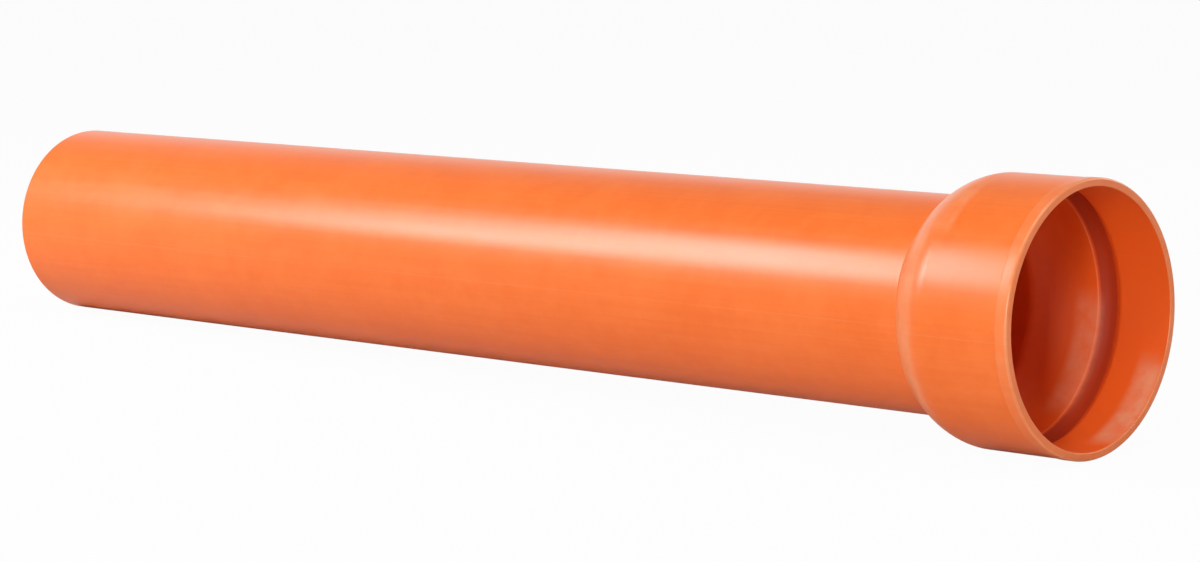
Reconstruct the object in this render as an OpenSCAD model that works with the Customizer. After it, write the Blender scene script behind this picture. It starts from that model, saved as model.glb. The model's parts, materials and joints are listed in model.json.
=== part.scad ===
// Plain-ended sewer pipe with an integral ring-seal socket, one moulded piece.
// It lies on a level floor, with the socket's mouth towards +X and the plain
// end, the spigot, towards -X. The origin is on the floor, under its middle.

/* [Pipe] */
// Outside diameter of the pipe
pipe_d = 160; // [110:5:200]
// Wall thickness of the pipe
pipe_wall = 4.7; // [3:0.1:7]
// Overall length along the axis, from the spigot's end to the socket's mouth
overall_length = 1110; // [500:10:3000]

/* [Socket] */
// Radial room for the seal, between a pipe's outside and the socket's bore
seal_gap = 13.2; // [8:0.2:16]
// Wall thickness of the socket's barrel
barrel_wall = 5.6; // [4.5:0.1:8]
// Depth of the parallel barrel, behind the mouth
barrel_depth = 75; // [68:1:120]
// Length of the steep flare that joins the barrel to the pipe
flare_length = 38; // [30:1:120]
// Outside radius of the tight crease where the flare leaves the pipe
flare_foot_r = 3; // [2:0.5:80]
// Outside radius of the round shoulder where the flare meets the barrel
flare_crest_r = 44.5; // [10:0.5:60]

/* [Rim] */
// Length of the thicker band round the mouth
rim_length = 9.5; // [5:0.5:15]
// How far the rim band stands out from the barrel
rim_step = 0.5; // [0.2:0.1:1.5]
// Chamfer on the rim's outer edge
rim_chamfer = 1.2; // [0.4:0.1:2]
// Chamfer on the rim's inner edge
mouth_chamfer = 0.8; // [0.4:0.1:1.5]

/* [Seal groove] */
// Depth behind the mouth at which the groove for the sealing ring starts
groove_start = 44.5; // [20:0.5:48]
// Width of the groove at the socket's bore
groove_width = 19; // [15:0.5:22]
// Depth of the groove into the wall
groove_depth = 3; // [1:0.1:3.5]
// Length of the groove's steep side, nearer the mouth
groove_near_run = 3; // [1:0.5:5]
// Length of the groove's long sloped side, further in
groove_far_run = 9; // [3:0.5:9]

/* [Hidden] */
pipe_colour = [0.96, 0.5, 0.29];
round_fn = 96;
arc_steps = 12;

// Radii of the main turned surfaces
pipe_r = pipe_d / 2;
bore_r = pipe_r - pipe_wall;
socket_r = pipe_r + seal_gap;
barrel_r = socket_r + barrel_wall;
rim_r = barrel_r + rim_step;
groove_r = socket_r + groove_depth;

// Places along the axis, counted from the spigot's end
mouth_x = overall_length;
crest_x = mouth_x - barrel_depth;
foot_x = crest_x - flare_length;
rim_x = mouth_x - rim_length;
groove_near_x = mouth_x - groove_start;
groove_far_x = groove_near_x - groove_width;

// The flare's two bends shrink together where the flare is too short for them
flare_rise = barrel_r - pipe_r;
flare_room = (flare_length ^ 2 + flare_rise ^ 2) / (2 * flare_rise);
bend_scale = min(1, 0.995 * flare_room / (flare_foot_r + flare_crest_r));
foot_r = flare_foot_r * bend_scale;
crest_r = flare_crest_r * bend_scale;
// A tight crest keeps a small bend on the inside of the wall
inner_crest_r = max(crest_r - barrel_wall, 1);

// Unheld, the pipe rests on the bottom of its spigot's end and on the round
// crest of the socket, so its axis climbs a little towards the mouth
crest_rise = barrel_r - crest_r - pipe_r;
tilt = atan2(crest_rise, crest_x) + asin(crest_r / norm([crest_x, crest_rise]));
lift = pipe_r * cos(tilt);
mouth_reach = mouth_x * cos(tilt) + (rim_r - rim_chamfer) * sin(tilt);
spigot_reach = -pipe_r * sin(tilt);
centre_shift = -(mouth_reach + spigot_reach) / 2;

// Points [radius, place] of an arc about a centre, from one angle to another
function arc(centre, r, from, to) = [
    for (i = [0:arc_steps])
        let (turn = from + (to - from) * i / arc_steps)
        centre + r * [cos(turn), sin(turn)]
];

// An S-shaped outline that leaves radius r_low at foot_x and reaches radius
// r_high at crest_x: a hollow bend, a straight slope and a round bend
function flare(r_low, r_high, r_foot, r_crest) =
    let (
        foot_centre = [r_low + r_foot, foot_x],
        crest_centre = [r_high - r_crest, crest_x],
        span = crest_centre - foot_centre,
        slope = atan2(span.x, span.y) + asin((r_foot + r_crest) / norm(span))
    )
    concat(
        arc(foot_centre, r_foot, 180, 180 - slope),
        arc(crest_centre, r_crest, -slope, 0)
    );

// The outside, from the spigot's end to the mouth
function outside() = concat(
    [[pipe_r, 0]],
    flare(pipe_r, barrel_r, foot_r, crest_r),
    [
        [barrel_r, rim_x - rim_step],
        [rim_r, rim_x],
        [rim_r, mouth_x - rim_chamfer],
        [rim_r - rim_chamfer, mouth_x]
    ]
);

// The inside, from the spigot's end to the mouth
function inside() = concat(
    [[bore_r, 0]],
    flare(bore_r, socket_r, foot_r + pipe_wall, inner_crest_r),
    [
        [socket_r, groove_far_x],
        [groove_r, groove_far_x + groove_far_run],
        [groove_r, groove_near_x - groove_near_run],
        [socket_r, groove_near_x],
        [socket_r, mouth_x - mouth_chamfer],
        [socket_r + mouth_chamfer, mouth_x]
    ]
);

function backwards(points) = [for (i = [len(points) - 1:-1:0]) points[i]];

// The whole pipe, turned about its axis and laid down along X
module pipe() {
    color(pipe_colour)
        translate([centre_shift, 0, lift])
            rotate([0, 90 - tilt, 0])
                rotate_extrude($fn = round_fn)
                    polygon(concat(outside(), backwards(inside())));
}

pipe();
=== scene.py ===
# An orange-brown PVC sewer pipe, one metre of it to lay, with a ring-seal socket at one end.
# The pipe is drawn standing on its plain end, the spigot, and then laid down on the floor.
# Lengths are in metres. A "place" is a distance along the pipe's axis from the spigot's end.
import json
import math

import bpy
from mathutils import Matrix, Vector


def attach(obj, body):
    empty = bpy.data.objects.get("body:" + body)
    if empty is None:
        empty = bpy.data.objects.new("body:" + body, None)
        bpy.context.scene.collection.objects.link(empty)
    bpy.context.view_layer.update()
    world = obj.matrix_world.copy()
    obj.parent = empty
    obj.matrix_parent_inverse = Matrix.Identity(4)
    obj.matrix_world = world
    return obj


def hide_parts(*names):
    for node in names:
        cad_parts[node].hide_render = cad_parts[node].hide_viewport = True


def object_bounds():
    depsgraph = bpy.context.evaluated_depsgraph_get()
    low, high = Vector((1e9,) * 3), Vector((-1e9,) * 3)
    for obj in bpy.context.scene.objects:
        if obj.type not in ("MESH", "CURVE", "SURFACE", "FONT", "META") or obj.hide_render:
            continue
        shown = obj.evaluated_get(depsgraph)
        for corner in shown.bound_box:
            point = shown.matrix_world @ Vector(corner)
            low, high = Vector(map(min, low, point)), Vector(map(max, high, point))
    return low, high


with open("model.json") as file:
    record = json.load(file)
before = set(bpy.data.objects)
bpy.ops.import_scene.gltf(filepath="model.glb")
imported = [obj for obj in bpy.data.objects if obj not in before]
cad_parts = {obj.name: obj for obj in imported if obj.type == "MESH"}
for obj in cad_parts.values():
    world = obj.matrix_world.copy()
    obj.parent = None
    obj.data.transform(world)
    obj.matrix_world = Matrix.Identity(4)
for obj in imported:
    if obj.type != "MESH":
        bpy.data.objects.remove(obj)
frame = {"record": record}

cad_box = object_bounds()
MM = 0.001

# ---------------------------------------------------------------- sizes

mounts = {mount["name"]: mount for mount in frame["record"]["mounts"]}
axis = Vector(mounts["socket_mouth"]["axis"]).normalized()
spigot_length = mounts["spigot"]["dims"]["length_mm"] * MM
spigot_end = Vector(mounts["spigot"]["pos_m"]) - axis * spigot_length / 2
tilt = math.asin(axis.z)

pipe_r = mounts["spigot"]["dims"]["r_mm"] * MM
bore_r = mounts["pipe_bore"]["dims"]["r_mm"] * MM
socket_r = mounts["socket_mouth"]["dims"]["r_mm"] * MM
length = (Vector(mounts["mouth_face"]["pos_m"]) - spigot_end).dot(axis)

BARREL_WALL = 5.6 * MM
BARREL_DEPTH = 75 * MM
FOOT_BEND = 3 * MM
CREST_BEND = 44.5 * MM
RIM_LENGTH = 9.5 * MM
RIM_STEP = 0.5 * MM
GROOVE_START = 44.5 * MM
GROOVE_WIDTH = 19 * MM
GROOVE_DEPTH = 3 * MM
GROOVE_NEAR_RUN = 3 * MM
GROOVE_FAR_RUN = 9 * MM

SIDES = 256
RING_GAP = 40 * MM

pipe_wall = pipe_r - bore_r
barrel_r = socket_r + BARREL_WALL
rim_r = (cad_box[1][1] - cad_box[0][1]) / 2
groove_r = socket_r + GROOVE_DEPTH
foot = spigot_length
crest = length - BARREL_DEPTH
rim_start = length - RIM_LENGTH
groove_near = length - GROOVE_START
groove_far = groove_near - GROOVE_WIDTH


# ---------------------------------------------------------------- modelling by hand


def nothing_selected():
    """Leaves object mode with nothing selected, as each new piece starts."""
    if bpy.context.object and bpy.context.object.mode != "OBJECT":
        bpy.ops.object.mode_set(mode="OBJECT")
    bpy.ops.object.select_all(action="DESELECT")


def pick_rings(piece, rings, slack=0.02 * MM):
    """In edit mode, selects the vertices of the rings given as (place, radius)."""
    bpy.ops.mesh.select_all(action="DESELECT")
    bpy.ops.object.mode_set(mode="OBJECT")
    for vertex in piece.data.vertices:
        radius = math.hypot(vertex.co.x, vertex.co.y)
        vertex.select = any(
            abs(vertex.co.z - place) < slack and abs(radius - ring_r) < slack
            for place, ring_r in rings
        )
    bpy.ops.object.mode_set(mode="EDIT")


def draw_out(rings, place, radius):
    """Extrudes the selected end ring through each (place, radius) in turn."""
    for next_place, next_radius in rings:
        bpy.ops.mesh.extrude_region_move(
            TRANSFORM_OT_translate={"value": (0, 0, next_place - place)}
        )
        grow = next_radius / radius
        bpy.ops.transform.resize(value=(grow, grow, 1), center_override=(0, 0, next_place))
        place, radius = next_place, next_radius


def round_ring(piece, place, radius, width, segments):
    """Rounds the corner that runs round the pipe at one ring, width away to each side."""
    pick_rings(piece, [(place, radius)])
    bpy.ops.mesh.bevel(
        offset=width, offset_type="OFFSET", segments=segments, profile=0.5, affect="EDGES"
    )


def flare_slope(low_r, high_r, foot_bend, crest_bend):
    """The steepest angle of the S between two radii, for the bends' radii at its two ends."""
    rise = (high_r - crest_bend) - (low_r + foot_bend)
    run = crest - foot
    return math.atan2(rise, run) + math.asin((foot_bend + crest_bend) / math.hypot(rise, run))


def flare_corners(low_r, high_r, foot_bend, crest_bend):
    """The S's two sharp corners as (place, radius, cut back, segments), from the pipe's side."""
    half_turn = math.tan(flare_slope(low_r, high_r, foot_bend, crest_bend) / 2)
    foot_cut = foot_bend * half_turn
    crest_cut = crest_bend * half_turn
    return [
        (foot + foot_cut, low_r, foot_cut, 6),
        (crest - crest_cut, high_r, crest_cut, 18),
    ]


def pipe_mesh():
    """The pipe as one closed skin, standing on its spigot's end."""
    outer = flare_corners(pipe_r, barrel_r, FOOT_BEND, CREST_BEND)
    inner = flare_corners(bore_r, socket_r, FOOT_BEND + pipe_wall, CREST_BEND - BARREL_WALL)
    start = RING_GAP

    nothing_selected()
    bpy.ops.mesh.primitive_cylinder_add(
        vertices=SIDES, radius=pipe_r, depth=start, end_fill_type="NOTHING",
        location=(0, 0, start / 2),
    )
    piece = bpy.context.object
    piece.name = "sewer_pipe"
    bpy.ops.object.transform_apply(location=True, rotation=True, scale=True)
    bpy.ops.object.mode_set(mode="EDIT")

    steps = int(foot / RING_GAP)
    along = [foot * step / steps for step in range(2, steps + 1)]
    outside = [(place, pipe_r) for place in along]
    outside += [(corner[0], corner[1]) for corner in outer]
    outside += [
        (rim_start - RIM_STEP, barrel_r),
        (rim_start, rim_r),
        (length, rim_r),
    ]
    inside = [
        (length, socket_r),
        (groove_near, socket_r),
        (groove_near - GROOVE_NEAR_RUN, groove_r),
        (groove_far + GROOVE_FAR_RUN, groove_r),
        (groove_far, socket_r),
    ]
    inside += [(corner[0], corner[1]) for corner in reversed(inner)]
    inside += [(place, bore_r) for place in reversed(along)]
    inside += [(start, bore_r), (0, bore_r)]
    pick_rings(piece, [(start, pipe_r)])
    draw_out(outside + inside, start, pipe_r)

    pick_rings(piece, [(0, pipe_r), (0, bore_r)])
    bpy.ops.mesh.bridge_edge_loops()

    rounded = outer + inner + [
        (0, pipe_r, 0.5 * MM, 3),
        (0, bore_r, 0.5 * MM, 3),
        (rim_start - RIM_STEP, barrel_r, 0.3 * MM, 2),
        (rim_start, rim_r, 0.3 * MM, 2),
        (length, rim_r, 2.0 * MM, 6),
        (length, socket_r, 0.8 * MM, 4),
        (groove_near, socket_r, 2.6 * MM, 5),
        (groove_near - GROOVE_NEAR_RUN, groove_r, 1.0 * MM, 3),
        (groove_far + GROOVE_FAR_RUN, groove_r, 2.0 * MM, 4),
        (groove_far, socket_r, 0.6 * MM, 3),
    ]
    for place, radius, width, segments in rounded:
        round_ring(piece, place, radius, width, segments)

    bpy.ops.mesh.select_all(action="SELECT")
    bpy.ops.mesh.remove_doubles(threshold=0.001 * MM)
    bpy.ops.mesh.normals_make_consistent(inside=False)
    bpy.ops.object.mode_set(mode="OBJECT")
    return piece


def lay_down(piece):
    """Turns the standing pipe onto its side, at the slight climb that its socket gives it."""
    piece.rotation_euler = (0, math.pi / 2 - tilt, 0)
    piece.location = spigot_end
    bpy.ops.object.transform_apply(location=True, rotation=True, scale=True)


def smooth_skin(piece):
    """Smooth shading that keeps the long walls straight next to the small round edges."""
    bpy.ops.object.shade_smooth_by_angle(angle=math.radians(40))
    bpy.ops.object.modifier_add(type="WEIGHTED_NORMAL")
    modifier = piece.modifiers[-1]
    modifier.keep_sharp = True
    modifier.weight = 50
    bpy.ops.object.modifier_apply(modifier=modifier.name)


# ---------------------------------------------------------------- material


def new_node(tree, kind, inputs=None, **settings):
    """Adds a node, with its settings and its sockets' values or the sockets that feed them."""
    made = tree.nodes.new(kind)
    for name, value in settings.items():
        setattr(made, name, value)
    for name, value in (inputs or {}).items():
        socket = made.inputs[name]
        if isinstance(value, bpy.types.NodeSocket):
            tree.links.new(value, socket)
        else:
            socket.default_value = value
    return made


def maths(tree, operation, first, second=0.0):
    return new_node(tree, "ShaderNodeMath", {0: first, 1: second}, operation=operation).outputs[0]


def sum_of(tree, first, second):
    return maths(tree, "ADD", first, second)


def product(tree, first, second):
    return maths(tree, "MULTIPLY", first, second)


def ramp(tree, value, low, high, out_low=0.0, out_high=1.0):
    """A smooth step of a value, from out_low at low to out_high at high."""
    made = new_node(
        tree, "ShaderNodeMapRange",
        {"Value": value, "From Min": low, "From Max": high, "To Min": out_low, "To Max": out_high},
        interpolation_type="SMOOTHSTEP", clamp=True,
    )
    return made.outputs["Result"]


def band(tree, value, low, high, soft):
    """1 where a value lies between low and high, falling to 0 over soft to each side."""
    rising = ramp(tree, value, low - soft, low)
    falling = ramp(tree, value, high, high + soft, 1.0, 0.0)
    return product(tree, rising, falling)


def noise(tree, where, scale, detail=3.0, roughness=0.5):
    made = new_node(
        tree, "ShaderNodeTexNoise",
        {"Vector": where, "Scale": scale, "Detail": detail, "Roughness": roughness},
    )
    return made.outputs["Fac"]


def mix_colour(tree, amount, first, second):
    made = tree.nodes.new("ShaderNodeMix")
    made.data_type = "RGBA"
    colour_sockets = {0: amount, 6: first, 7: second}
    for number, value in colour_sockets.items():
        socket = made.inputs[number]
        if isinstance(value, bpy.types.NodeSocket):
            tree.links.new(value, socket)
        else:
            socket.default_value = value
    return made.outputs[2]


def toward(tree, colour, amount, strength, other):
    """The colour, mixed with another as far as amount times strength."""
    return mix_colour(tree, product(tree, amount, strength), colour, other)


DEEP_ORANGE = (0.87, 0.150, 0.012, 1)
PALE_ORANGE = (0.93, 0.188, 0.025, 1)
# Pale orange for real scuffs and die lines, also used for the painted highlights outside
SCUFF_AND_SHEEN_PALE = (0.90, 0.36, 0.17, 1)
# Pale orange painted as highlight and sheen on the lip and inside the mouth
SHEEN_PALE = (0.90, 0.42, 0.24, 1)
GRIME = (0.30, 0.09, 0.03, 1)
# Dark red-brown painted into the seal groove as shade
GROOVE_SHADE_TONE = (0.42, 0.030, 0.001, 1)
# A deeper, redder orange mixed onto the inside: painted shade of the bore
SHADED_INSIDE_ORANGE = (0.93, 0.115, 0.005, 1)

DIE_LINES = [
    # degrees round the pipe, half width in degrees, strength
    (-3.8, 0.45, 0.5),
    (-96.0, 0.3, 0.7),
    (71.0, 0.25, 0.5),
    (158.0, 0.3, 0.8),
]
# Pale patches painted inside the mouth as sheen
SHEEN_PATCHES = [
    # from and to along the pipe, from and to in degrees, strength
    (crest - 2 * MM, groove_far - 2 * MM, 188.0, 226.0, 0.45),
    (length - 16 * MM, length - 5 * MM, 214.0, 246.0, 0.7),
]
# Where the roughness dips lower than this, small dark spots show in the renders
LEAST_ROUGHNESS = 0.28
PVC_IOR = 1.5


def pipe_coordinates(tree):
    """Sockets for the standing pipe's place, angle in degrees, radius and drawn-out position.

    The angle is counted round the axis from the pipe's front side upwards. The drawn-out
    position changes quickly round the pipe and slowly along it, for marks that run lengthwise.
    """
    where = new_node(tree, "ShaderNodeTexCoord").outputs["Object"]
    turn = new_node(tree, "ShaderNodeMapping", {"Vector": where}, vector_type="TEXTURE")
    turn.inputs["Location"].default_value = spigot_end
    turn.inputs["Rotation"].default_value = (0, math.pi / 2 - tilt, 0)
    standing = turn.outputs["Vector"]
    parts = new_node(tree, "ShaderNodeSeparateXYZ", {"Vector": standing}).outputs
    up = product(tree, parts["X"], -1.0)
    front = product(tree, parts["Y"], -1.0)
    angle = product(tree, maths(tree, "ARCTAN2", up, front), 180 / math.pi)
    flat = new_node(tree, "ShaderNodeCombineXYZ", {"X": parts["X"], "Y": parts["Y"]}).outputs[0]
    radius = new_node(tree, "ShaderNodeVectorMath", {0: flat}, operation="LENGTH").outputs["Value"]
    spoke = new_node(tree, "ShaderNodeVectorMath", {0: flat}, operation="NORMALIZE").outputs[0]
    spoke_parts = new_node(tree, "ShaderNodeSeparateXYZ", {"Vector": spoke}).outputs
    drawn = new_node(
        tree, "ShaderNodeCombineXYZ",
        {"X": spoke_parts["X"], "Y": spoke_parts["Y"], "Z": product(tree, parts["Z"], 0.12)},
    ).outputs[0]
    return standing, parts["Z"], angle, radius, drawn


def inner_side(tree, place, radius):
    """1 on the pipe's inside and 0 on its outside and its two end faces."""
    back = maths(tree, "MAXIMUM", maths(tree, "SUBTRACT", crest, place), 0.0)
    left = maths(tree, "SUBTRACT", CREST_BEND ** 2, product(tree, back, back))
    fall = maths(tree, "SQRT", maths(tree, "MAXIMUM", left, 0.0))
    skin = maths(tree, "MAXIMUM", sum_of(tree, fall, barrel_r - CREST_BEND), pipe_r)
    deep = ramp(tree, maths(tree, "SUBTRACT", skin, radius), 1.8 * MM, 2.6 * MM)
    return product(tree, deep, band(tree, place, 0.8 * MM, length - 1.2 * MM, 0.4 * MM))


def inside_painted_light(tree, colour, place, angle, inside, uneven):
    """The inside's painted shade, a deeper colour and a darkened seal groove, with a painted
    highlight on the lip and patches of painted sheen.
    """
    # The inside is mixed toward a deeper, redder orange as painted shade
    colour = toward(tree, colour, inside, 0.75, SHADED_INSIDE_ORANGE)

    # The seal groove is darkened: painted shade in the recess
    groove_shade = band(tree, place, groove_far + 3 * MM, groove_near - 5 * MM, 3 * MM)
    groove_shade = product(tree, groove_shade, inside)
    colour = toward(tree, colour, groove_shade, 0.95, GROOVE_SHADE_TONE)

    # A thin pale line along the lip's edge: a painted highlight
    lip = band(tree, place, groove_far - 0.3 * MM, groove_far + 0.1 * MM, 0.4 * MM)
    lip = product(tree, product(tree, lip, uneven), inside)
    colour = toward(tree, colour, lip, 0.5, SHEEN_PALE)

    around = maths(tree, "MODULO", sum_of(tree, angle, 360.0), 360.0)
    # Pale patches of painted sheen on the inside
    for start, end, around_low, around_high, strength in SHEEN_PATCHES:
        sheen_patch = band(tree, place, start, end, 9 * MM)
        sheen_patch = product(tree, sheen_patch, band(tree, around, around_low, around_high, 16.0))
        sheen_patch = product(tree, product(tree, sheen_patch, uneven), inside)
        colour = toward(tree, colour, sheen_patch, strength, SHEEN_PALE)
    return colour


def outside_wear_and_highlights(tree, colour, place, angle, inside, uneven):
    """Colour made paler on the rim band, partly wear and partly a painted highlight, with painted
    highlights on the rim's edge and on the socket's shoulder and crown.
    """
    outside = ramp(tree, inside, 0.0, 1.0, 1.0, 0.0)
    wear_and_highlight_mask = product(tree, uneven, outside)

    # The rim band paler: partly wear, partly a painted highlight
    rim_band = band(tree, place, rim_start, length, 0.5 * MM)
    colour = toward(tree, colour, product(tree, rim_band, wear_and_highlight_mask), 0.25, SCUFF_AND_SHEEN_PALE)
    # A pale line near the rim's outer edge: a painted highlight
    edge = band(tree, place, length - 1.8 * MM, length - 0.3 * MM, 0.3 * MM)
    colour = toward(tree, colour, product(tree, edge, wear_and_highlight_mask), 0.55, SCUFF_AND_SHEEN_PALE)

    # A pale ring on the shoulder and a patch on the crown: painted highlights
    shoulder = band(tree, place, foot + 9 * MM, foot + 24 * MM, 7 * MM)
    crown = band(tree, place, foot + 20 * MM, foot + 42 * MM, 6 * MM)
    crown = product(tree, crown, band(tree, angle, 48.0, 70.0, 12.0))
    shoulder_highlight_mask = product(tree, maths(tree, "MAXIMUM", shoulder, crown), wear_and_highlight_mask)
    return toward(tree, colour, shoulder_highlight_mask, 0.47, SCUFF_AND_SHEEN_PALE)


def die_lines(tree, angle, drawn):
    """1 along the middle of each thin line the die leaves, broken up along its length."""
    lines = 0.0
    for line_angle, half_width, strength in DIE_LINES:
        away = maths(tree, "ABSOLUTE", sum_of(tree, angle, -line_angle))
        line = product(tree, ramp(tree, away, 0.0, half_width, 1.0, 0.0), strength)
        lines = sum_of(tree, lines, line)
    broken = ramp(tree, noise(tree, drawn, 40.0, 4.0, 0.7), 0.35, 0.65, 0.25, 1.0)
    return product(tree, lines, broken)


def cloudy_orange(tree, clouds, mottle, streaks, inside):
    """The plastic's own colour, between its deep and its pale orange."""
    tone = sum_of(tree, product(tree, clouds, 0.6), product(tree, mottle, 0.5))
    streaked = ramp(tree, inside, 0.0, 1.0, 0.5, 0.15)
    tone = sum_of(tree, tone, product(tree, streaks, streaked))
    return mix_colour(tree, ramp(tree, tone, 0.55, 1.05), DEEP_ORANGE, PALE_ORANGE)


def marked(tree, colour, standing, drawn, lines):
    """Colour with very faint lengthwise scuffs, the die lines and a few faint dark specks."""
    scratches = ramp(tree, noise(tree, drawn, 150.0, 3.0, 0.6), 0.70, 0.80)
    patches = ramp(tree, noise(tree, standing, 7.0, 2.0, 0.5), 0.48, 0.70)
    colour = toward(tree, colour, product(tree, scratches, patches), 0.5, SCUFF_AND_SHEEN_PALE)
    colour = toward(tree, colour, lines, 0.35, SCUFF_AND_SHEEN_PALE)
    specks = ramp(tree, noise(tree, standing, 520.0, 1.0, 0.5), 0.81, 0.85)
    return toward(tree, colour, specks, 0.35, GRIME)


def pvc_roughness(tree, clouds, mottle, streaks, inside):
    """Semi-gloss, a little uneven and streaked, and duller on the inside."""
    rough = sum_of(tree, product(tree, mottle, 0.10), product(tree, clouds, 0.08))
    rough = sum_of(tree, rough, product(tree, streaks, 0.10))
    rough = maths(tree, "MAXIMUM", sum_of(tree, rough, 0.165), LEAST_ROUGHNESS)
    return sum_of(tree, rough, product(tree, inside, 0.3))


def pvc_relief(tree, standing, clouds, streaks, lines, inside):
    """A very slight bump: broad waves, lengthwise ribs, fine grain and the sunk die lines."""
    grain = noise(tree, standing, 900.0, 2.0, 0.5)
    ribbed = ramp(tree, inside, 0.0, 1.0, 1.0, 0.35)
    height = product(tree, product(tree, streaks, 0.020 * MM), ribbed)
    height = sum_of(tree, height, product(tree, grain, 0.004 * MM))
    height = sum_of(tree, height, product(tree, clouds, 0.25 * MM))
    height = sum_of(tree, height, product(tree, lines, -0.03 * MM))
    relief = {"Height": height, "Strength": 1.0, "Distance": 1.0}
    return new_node(tree, "ShaderNodeBump", relief).outputs["Normal"]


def orange_pvc():
    """Extruded orange-brown PVC, cloudy and faintly streaked, with light wear, painted shade in
    the bore and seal groove, and painted highlights on the lip, rim and shoulder.
    """
    material = bpy.data.materials.new("orange_pvc")
    material.use_nodes = True
    tree = material.node_tree
    shader = tree.nodes["Principled BSDF"]
    standing, place, angle, radius, drawn = pipe_coordinates(tree)
    inside = inner_side(tree, place, radius)

    clouds = noise(tree, standing, 14.0, 4.0, 0.55)
    mottle = noise(tree, standing, 70.0, 4.0, 0.6)
    streaks = noise(tree, drawn, 26.0, 5.0, 0.62)
    uneven = ramp(tree, noise(tree, standing, 60.0, 4.0, 0.6), 0.30, 0.65, 0.45, 1.0)
    lines = die_lines(tree, angle, drawn)

    colour = cloudy_orange(tree, clouds, mottle, streaks, inside)
    colour = marked(tree, colour, standing, drawn, lines)
    # Painted shade and highlights on the inside; painted highlights and some wear outside
    colour = inside_painted_light(tree, colour, place, angle, inside, uneven)
    colour = outside_wear_and_highlights(tree, colour, place, angle, inside, uneven)
    rough = pvc_roughness(tree, clouds, mottle, streaks, inside)
    relief = pvc_relief(tree, standing, clouds, streaks, lines, inside)

    tree.links.new(colour, shader.inputs["Base Color"])
    tree.links.new(rough, shader.inputs["Roughness"])
    tree.links.new(relief, shader.inputs["Normal"])
    shader.inputs["IOR"].default_value = PVC_IOR
    return material


# ---------------------------------------------------------------- studio

WHITE = (1, 1, 1, 1)
FLOOR_SIZE = 60.0
FLOOR_GLOW = 0.965
FLOOR_GREY = (0.65, 0.65, 0.65, 1)
AMBIENT = 0.15
CEILING = 0.35
DARK_SIDE = (0.69, -0.72, 0.0)
DARK_SIDE_TONE = 0.15

WINDOW_DISTANCE = 1.7
AXIS_HEIGHT = 0.1
PANES = [(-1.9, -1.7), (-1.7, -1.4), (-1.4, -0.7)]
ROWS = [
    # from and to in degrees above the floor, and each pane's watts per square metre
    (27, 35, (98, 34, 41)),
    (35, 45, (40, 17, 43)),
    (45, 55, (16, 6, 34)),
]

SOFTBOXES = [
    # name, where it stands, the point it faces, size across and up, watts
    ("front_right", (1.36, -1.77, 0.57), (0.2, 0, 0.1), (0.3, 0.7), 20.5),
    ("overhead", (0.8, -0.35, 2.1), (0.4, 0, 0.1), (1.4, 1.0), 11),
    ("mouth_fill", (1.55, 0.2, 1.65), (0.52, 0, 0.05), (0.6, 0.4), 5),
    ("behind", (0.9, 1.9, 1.2), (0.2, 0, 0.1), (1.6, 0.8), 10),
]

CAMERA_AZIMUTH = 43.76
CAMERA_ELEVATION = 7.74
CAMERA_DISTANCE = 2.850
CAMERA_AIM = (0.0801, 0.0, 0.0829)
CAMERA_LENS = 108.9
CAMERA_SENSOR = 36


def white_floor_material():
    """A pale matt floor that still shows a soft shadow.

    It is lifted to white where the camera sees it, and behind the pipe where gloss does.
    """
    material = bpy.data.materials.new("studio_floor")
    material.use_nodes = True
    tree = material.node_tree
    tree.nodes.remove(tree.nodes["Principled BSDF"])
    matt = new_node(tree, "ShaderNodeBsdfDiffuse", {"Color": FLOOR_GREY}).outputs[0]
    glow = new_node(tree, "ShaderNodeEmission", {"Color": WHITE, "Strength": 1.0}).outputs[0]
    rays = new_node(tree, "ShaderNodeLightPath").outputs
    where = new_node(tree, "ShaderNodeTexCoord").outputs["Object"]
    depth = new_node(tree, "ShaderNodeSeparateXYZ", {"Vector": where}).outputs["Y"]
    behind = product(tree, rays["Is Glossy Ray"], ramp(tree, depth, 0.0, 0.4))
    seen = maths(tree, "MAXIMUM", rays["Is Camera Ray"], behind)
    mixed = new_node(
        tree, "ShaderNodeMixShader", {0: product(tree, seen, FLOOR_GLOW), 1: matt, 2: glow}
    ).outputs[0]
    tree.links.new(mixed, tree.nodes["Material Output"].inputs["Surface"])
    return material


def studio_floor():
    nothing_selected()
    bpy.ops.mesh.primitive_plane_add(size=FLOOR_SIZE, location=(0, 0, 0))
    floor = bpy.context.object
    floor.name = "studio_floor"
    floor.data.materials.append(white_floor_material())


def studio_world():
    """Soft even light from all round, white where it is seen.

    Gloss shows it greyer overhead, and dark towards the room at the front right.
    """
    world = bpy.data.worlds.new("studio")
    bpy.context.scene.world = world
    world.use_nodes = True
    tree = world.node_tree
    rays = new_node(tree, "ShaderNodeLightPath").outputs
    direction = new_node(tree, "ShaderNodeTexCoord").outputs["Object"]
    height = new_node(tree, "ShaderNodeSeparateXYZ", {"Vector": direction}).outputs["Z"]
    mirrored = product(tree, rays["Is Glossy Ray"], ramp(tree, height, 0.28, 0.60, 1.0, CEILING))
    room = new_node(
        tree, "ShaderNodeVectorMath", {0: direction, 1: DARK_SIDE}, operation="DOT_PRODUCT"
    ).outputs["Value"]
    mirrored = product(tree, mirrored, ramp(tree, room, 0.35, 0.80, 1.0, DARK_SIDE_TONE))
    seen = maths(tree, "MAXIMUM", rays["Is Camera Ray"], rays["Is Transmission Ray"])
    strength = maths(tree, "MAXIMUM", maths(tree, "MAXIMUM", seen, mirrored), AMBIENT)
    sky = tree.nodes["Background"]
    sky.inputs["Color"].default_value = WHITE
    tree.links.new(strength, sky.inputs["Strength"])


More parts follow.
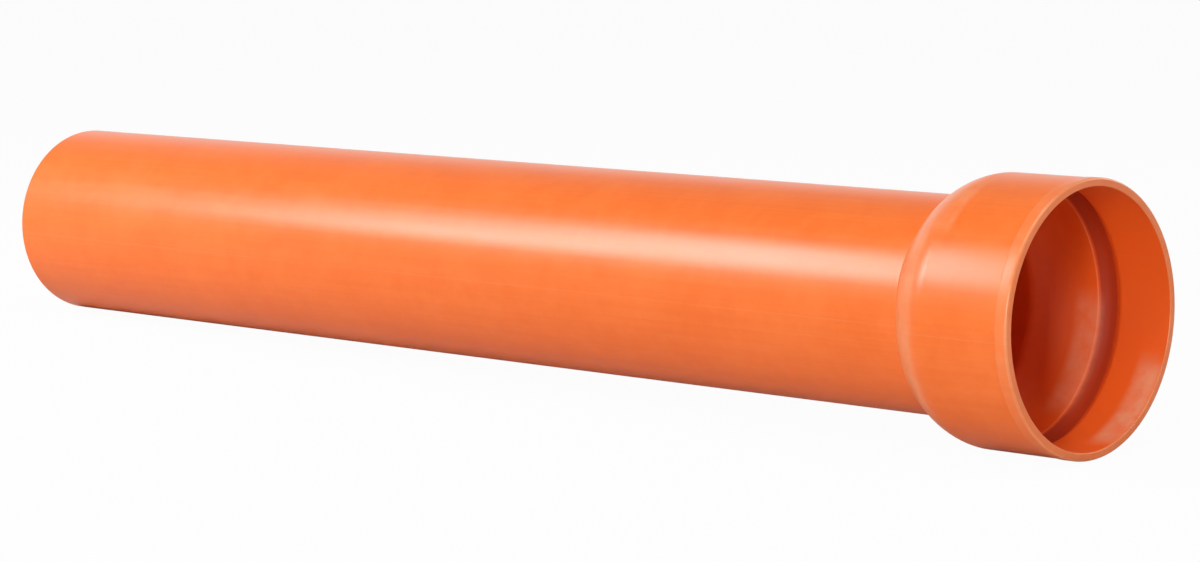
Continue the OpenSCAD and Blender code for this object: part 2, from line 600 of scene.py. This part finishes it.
def softbox(name, centre, aim, size, power):
    """A soft rectangular lamp at a point, facing another; size is (across, up)."""
    lamp = bpy.data.lights.new(name, "AREA")
    lamp.shape = "RECTANGLE"
    lamp.size, lamp.size_y = size
    lamp.energy = power
    holder = bpy.data.objects.new(name, lamp)
    bpy.context.scene.collection.objects.link(holder)
    holder.location = centre
    holder.rotation_euler = (Vector(aim) - Vector(centre)).to_track_quat("-Z", "Y").to_euler()


def window_pane(low, high, left, right, brightness):
    """One pane of the window, square on to the pipe's axis, between two lifts in degrees."""
    height = 2 * WINDOW_DISTANCE * math.tan(math.radians(high - low) / 2)
    width = right - left
    lift = math.radians((low + high) / 2)
    middle = (left + right) / 2
    centre = (
        middle,
        -WINDOW_DISTANCE * math.cos(lift),
        AXIS_HEIGHT + WINDOW_DISTANCE * math.sin(lift),
    )
    name = f"window_{low}_{round(-100 * right)}"
    aim = (middle, 0, AXIS_HEIGHT)
    softbox(name, centre, aim, (width, height), brightness * width * height)


def window_light():
    """A long soft window over the pipe's front, made of rows of panes that fade upwards."""
    for low, high, brightness in ROWS:
        for pane, (left, right) in enumerate(PANES):
            window_pane(low, high, left, right, brightness[pane])


def lights():
    """The window and the soft boxes."""
    window_light()
    for name, centre, aim, size, power in SOFTBOXES:
        softbox(name, centre, aim, size, power)


def studio_camera():
    """A long lens a little above the floor, looking at the socket's end of the pipe."""
    azimuth = math.radians(CAMERA_AZIMUTH)
    elevation = math.radians(CAMERA_ELEVATION)
    back = Vector((
        math.sin(azimuth) * math.cos(elevation),
        -math.cos(azimuth) * math.cos(elevation),
        math.sin(elevation),
    ))
    camera = bpy.data.objects.new("camera", bpy.data.cameras.new("camera"))
    bpy.context.scene.collection.objects.link(camera)
    camera.data.sensor_width = CAMERA_SENSOR
    camera.data.lens = CAMERA_LENS
    camera.data.clip_end = 200
    camera.location = Vector(CAMERA_AIM) + back * CAMERA_DISTANCE
    camera.rotation_euler = (-back).to_track_quat("-Z", "Y").to_euler()
    bpy.context.scene.camera = camera


# ---------------------------------------------------------------- the object in its studio

sewer_pipe = pipe_mesh()
lay_down(sewer_pipe)
smooth_skin(sewer_pipe)
sewer_pipe.data.materials.clear()
sewer_pipe.data.materials.append(orange_pvc())
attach(sewer_pipe, "root")
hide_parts("pipe")

studio_floor()
studio_world()
lights()
studio_camera()
bpy.context.scene.view_settings.view_transform = "Standard"
